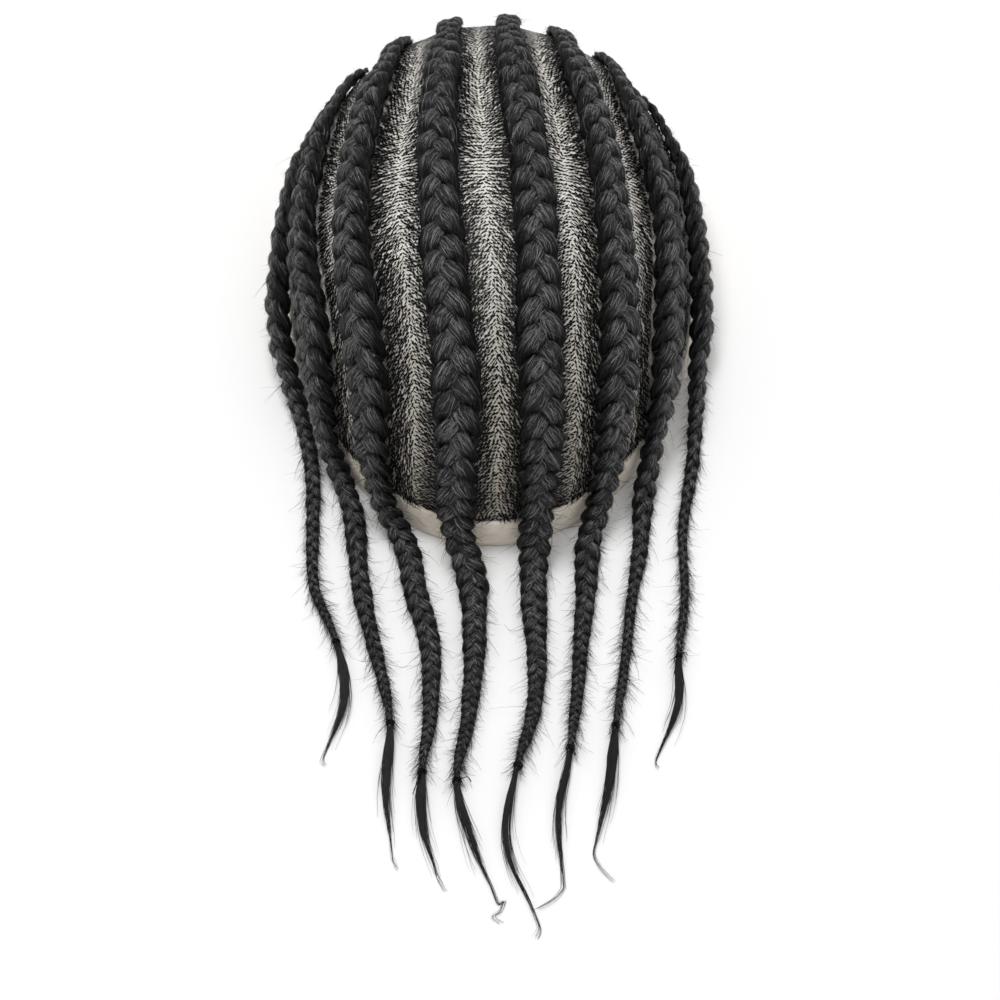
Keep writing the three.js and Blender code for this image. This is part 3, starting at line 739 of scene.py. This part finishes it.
def add_thread(batch, path, thickness, sides):
    along = unit(np.gradient(path, axis=0))
    first = unit(np.cross(along, np.array([0.13, 0.21, 0.97])))
    second = np.cross(along, first)
    angle = np.linspace(0, 2 * math.pi, sides, endpoint=False)
    radius = np.full(len(path), thickness / 2)
    radius[[0, -1]] *= 0.3
    rings = path[:, None] + radius[:, None, None] * (
        first[:, None] * np.cos(angle)[None, :, None] + second[:, None] * np.sin(angle)[None, :, None])
    marks = np.zeros((*rings.shape[:2], 3))
    marks[..., 0] = np.arange(len(path))[:, None] * 0.8
    marks[..., 1] = angle[None] * 0.3
    batch.tube(rings, marks)


# The base

def shell(name, material, slot, node, low, high, wall, rows, top):
    """A smooth band or cap of the half ellipsoid between two heights, with a wall. Marks are arc lengths."""
    sides = 120
    turn = np.linspace(0, 2 * math.pi, sides, endpoint=False)
    skins = []
    for inset in (0.0, wall):
        half = HALF - inset
        heights = np.arcsin(np.clip(np.array([low, high]) / half[2], 0, 1))
        angle = np.linspace(heights[0], math.pi / 2 - 0.02 if top else heights[1], rows)
        skins.append(np.stack([
            BASE[0] + half[0] * np.cos(angle)[:, None] * np.sin(turn) * fullness(np.cos(angle)[:, None] * np.cos(turn)),
            BASE[1] + half[1] * np.cos(angle)[:, None] * np.cos(turn),
            np.broadcast_to((half[2] * np.sin(angle))[:, None], (rows, sides)),
        ], axis=-1))
    rings = np.concatenate([skins[1][::-1], skins[0]])
    if top:
        x, y, z = np.moveaxis(((rings - BASE) / HALF).clip(-1, 1), -1, 0)
        marks = [np.arctan2(x, np.maximum(z, 1e-6)) * 68 * np.sqrt(1 - y ** 2), np.arcsin(y) * 85]
    else:
        marks = [np.broadcast_to(turn * 80, rings.shape[:2]), rings[..., 2] / MM]
    marks = np.stack([*marks, np.zeros(rings.shape[:2])], axis=-1)
    batch = Batch()
    if top:
        batch.tube(rings[::-1], marks[::-1])
    else:
        count = len(rings)
        index = np.arange(count * sides).reshape(count, sides)
        turned = np.roll(index, -1, axis=1)
        after, turned_after = np.roll(index, -1, axis=0), np.roll(turned, -1, axis=0)
        batch.add(rings, np.stack([index, after, turned_after, turned], axis=-1), marks, 0.5)
    return batch.build(name, material, slot, node)


# Hairs drawn from the lace into the braids

KNOT_PITCH = 1.16 * MM
ROW_PITCH = 1.18 * MM
KNOT_LENGTH = 0.95 * MM
SIDE_RADIUS = 68 * MM  # about the dome's radius from side to side
TURN_LATITUDE = 2.0  # degrees: beyond it the hairs lean to the far side, nearer to the near rim
BARE = 0.32  # of a braid's width from its middle, where it covers the lace


def lace_roots():
    """Knots of the net in staggered rows: angles from side to side and latitudes."""
    roots = []
    latitude = math.radians(-86)
    row = 0
    while latitude < math.radians(86):
        across = math.cos(latitude)
        edge = (STRIP_HEIGHT + 0.6 * MM) / (HALF[2] * across)
        if edge < 1:
            limit = math.acos(edge)
            step = KNOT_PITCH / (SIDE_RADIUS * across)
            sideways = np.arange(-limit, limit, step) + (row % 2) * step / 2
            roots.append(np.stack([sideways, np.full(len(sideways), latitude)], axis=-1))
        latitude += ROW_PITCH / math.hypot(HALF[1] * across, SIDE_RADIUS * math.sin(latitude))
        row += 1
    return np.concatenate(roots).T


def channels(braids, sideways, latitude):
    """For roots on the lace: which way the nearer braid is, how far its flank, and how close (0 to 1)."""
    y = np.sin(latitude)
    lanes = []
    for braid in braids:
        order = np.argsort(braid.directions[:, 1])
        x, along, z = braid.directions[order].T
        lanes.append((np.interp(y, along, np.arctan2(x, z)), np.interp(y, along, dome_width(braid)[order])))
    lines, widths = (np.stack(part) for part in zip(*lanes))
    pick = np.arange(len(y))
    channel = (sideways > lines).sum(axis=0)
    rim, none = np.full((1, len(y)), math.pi / 2), np.zeros((1, len(y)))
    west, east = np.vstack([-rim, lines])[channel, pick], np.vstack([lines, rim])[channel, pick]
    wide_west, wide_east = np.vstack([none, widths])[channel, pick], np.vstack([widths, none])[channel, pick]
    arc = SIDE_RADIUS * np.cos(latitude)
    to_west, to_east = (sideways - west) * arc - BARE * wide_west, (east - sideways) * arc - BARE * wide_east
    side = np.where(to_east - to_west < rng.normal(0, 0.5 * MM, len(y)), 1.0, -1.0)
    side = np.where(channel == 0, 1.0, np.where(channel == len(braids), -1.0, side))
    gap = np.where(side > 0, to_east, to_west)
    half = np.maximum(to_west + to_east, 2 * MM) / 2
    height = HALF[2] * np.cos(latitude) * np.cos(sideways) - STRIP_HEIGHT
    edge = np.clip(1 - height / np.where(latitude > 0, 20 * MM, 6 * MM), 0, 1)
    close = np.maximum(np.clip(1 - gap / half, 0, 1), edge)
    return (to_west > 0) & (to_east > 0), side, gap, close


def lace_ribbons(batch, sideways, latitude, side, gap, close, reach, widths):
    """Ribbons over the lace from the roots. reach is the length, widths the half widths in millimetres."""
    count, steps = len(sideways), len(widths)
    turn_share = np.clip((np.degrees(latitude) - TURN_LATITUDE) / 20, -1, 1)
    swing = np.where(turn_share > 0, 54, 44) * np.sign(turn_share) * np.abs(turn_share) ** 0.5
    heading = np.radians(88 + swing + rng.normal(0, 13, count))
    length = np.minimum(reach, np.maximum(gap, 0.6 * MM) / np.sin(heading) + 1.4 * MM)
    blob = KNOT_LENGTH
    past = (length - blob).clip(0.05 * MM)
    knot = [np.full(count, share * blob) for share in (-0.45, 0.5, 0.6)]
    stops = np.stack(knot + [0.6 * blob + past * k / (steps - 3) for k in range(1, steps - 2)], 1)
    bend = np.radians(rng.normal(0, 14, count))[:, None]
    turn = heading[:, None] + bend * stops / (4 * MM)
    jitter = rng.normal(0, 0.15 * MM, (2, count, 1))
    aside = side[:, None] * stops * np.sin(turn) + jitter[0]
    ahead = stops * np.cos(turn) + jitter[1]
    speed = np.hypot(HALF[1] * np.cos(latitude), SIDE_RADIUS * np.sin(latitude))[:, None]
    directions = dome_direction(
        sideways[:, None] + aside / (SIDE_RADIUS * np.cos(latitude))[:, None],
        latitude[:, None] - ahead / speed)
    share = (stops / stops[:, -1:]).clip(0)
    lift = 0.10 * MM + 0.45 * MM * close[:, None] ** 2 * np.sin(np.pi * np.minimum(share * 1.2, 1)) \
        * rng.uniform(0.4, 1.6, count)[:, None] + 0.3 * MM * close[:, None] * share
    paths = dome_point(directions, lift)
    hangs = rng.uniform(0, 1, (count, 1)) < 0.06
    lowest = np.where(hangs, 0.0, STRIP_HEIGHT + rng.uniform(0.1, 0.8, (count, 1)) * MM)
    paths[..., 2] = np.maximum(paths[..., 2], lowest)
    along = unit(np.gradient(paths, axis=1))
    thick = np.array(widths) * MM * rng.uniform(0.6, 1.4, count)[:, None] * (0.95 + 0.25 * close)[:, None]
    sides = unit(np.cross(along, unit(directions / HALF))) * thick[..., None]
    batch.ribbons(paths, sides, hair_marks(stops, stops.shape))


def lace_hairs(braids):
    """A knot with its hair at each crossing of the net, and longer hairs swept into the braids' flanks."""
    sideways, latitude = lace_roots()
    keep, *rest = channels(braids, sideways, latitude)
    sideways, latitude, side, gap, close = (v[keep] for v in (sideways, latitude, *rest))
    count = len(sideways)
    knots = Batch()
    reach = (1.9 + 3.6 * close) * MM * rng.uniform(0.8, 1.3, count)
    lace_ribbons(knots, sideways, latitude, side, gap, close, reach, (0.24, 0.26, 0.10, 0.03))
    knots.build("lace_knots", LACE_HAIR, "hair")
    swept = rng.uniform(0, 1, count) < 0.10 + 0.90 * close ** 0.8
    sideways, latitude, side, gap, close = (v[swept] for v in (sideways, latitude, side, gap, close))
    sideways = sideways + rng.normal(0, 0.006, len(sideways))
    hairs = Batch()
    reach = rng.uniform(4.0, 8.5, len(sideways)) * MM
    lace_ribbons(hairs, sideways, latitude, side, gap, close, reach, (0.03, 0.12, 0.13, 0.10, 0.03))
    hairs.build("lace_swept_hairs", LACE_HAIR, "hair")


def dome_width(braid):
    gaps = np.linalg.norm(np.diff(dome_point(braid.directions), axis=0), axis=1)
    return braid.width(np.concatenate([[0.0], np.cumsum(gaps)]))


# Stage

def studio():
    """Pale floor, soft light, and the camera at the photograph's angle."""
    floor = bpy.data.meshes.new("floor")
    size = 3.0
    floor.from_pydata([(-size, -size, 0), (size, -size, 0), (size, size, 0), (-size, size, 0)], [], [(0, 1, 2, 3)])
    nodes = Nodes("pale_floor", 0.9, Specular_IOR_Level=0.1)
    nodes.shader.inputs["Base Color"].default_value = (0.86, 0.86, 0.86, 1.0)
    floor.materials.append(nodes.material)
    ground = bpy.data.objects.new("floor", floor)
    bpy.context.scene.collection.objects.link(ground)

    world = bpy.data.worlds.new("studio")
    bpy.context.scene.world = world
    world.use_nodes = True
    world.node_tree.nodes["Background"].inputs["Color"].default_value = (1.0, 1.0, 1.0, 1.0)
    world.node_tree.nodes["Background"].inputs["Strength"].default_value = 0.6
    for name, place, width, power in (
        ("key", (-0.15, 0.30, 1.2), 0.45, 9.5),
        ("fill", (0.5, -0.5, 1.0), 0.9, 1.5),
    ):
        light = bpy.data.lights.new(name, "AREA")
        light.size = width
        light.energy = power
        lamp = bpy.data.objects.new(name, light)
        bpy.context.scene.collection.objects.link(lamp)
        lamp.location = place
        lamp.rotation_euler = (Vector((0, 0.03, 0.03)) - Vector(place)).to_track_quat("-Z", "Y").to_euler()

    eye = Vector(BASE + np.array([0.3, -437.1, 751.3]) * MM)
    aim = Vector(BASE + np.array([3.0, -76.9, 0.0]) * MM)
    camera = bpy.data.cameras.new("camera")
    camera.sensor_width = 36.0
    camera.lens = 94.4
    viewer = bpy.data.objects.new("camera", camera)
    bpy.context.scene.collection.objects.link(viewer)
    roll = Matrix.Rotation(math.radians(0.38), 4, "Z")
    viewer.matrix_world = Matrix.Translation(eye) @ (aim - eye).to_track_quat("-Z", "Y").to_matrix().to_4x4() @ roll
    bpy.context.scene.camera = viewer
    bpy.context.scene.view_settings.view_transform = "Standard"


studio()
braids = [Braid(row, pitch) for row, pitch in zip(BRAIDS, PLAIT_PITCH)]
shell("lace_net", LACE, "lace", "lace_base", STRIP_HEIGHT + SEAM, HALF[2], LACE_WALL, 32, True)
shell("tan_strip", FILM, "edge_film", "edge_strip", 0.0, STRIP_HEIGHT, STRIP_WALL, 8, False)
for i, braid in enumerate(braids):
    plait(i + 1, braid)
    tie(i + 1, braid)
lace_hairs(braids)
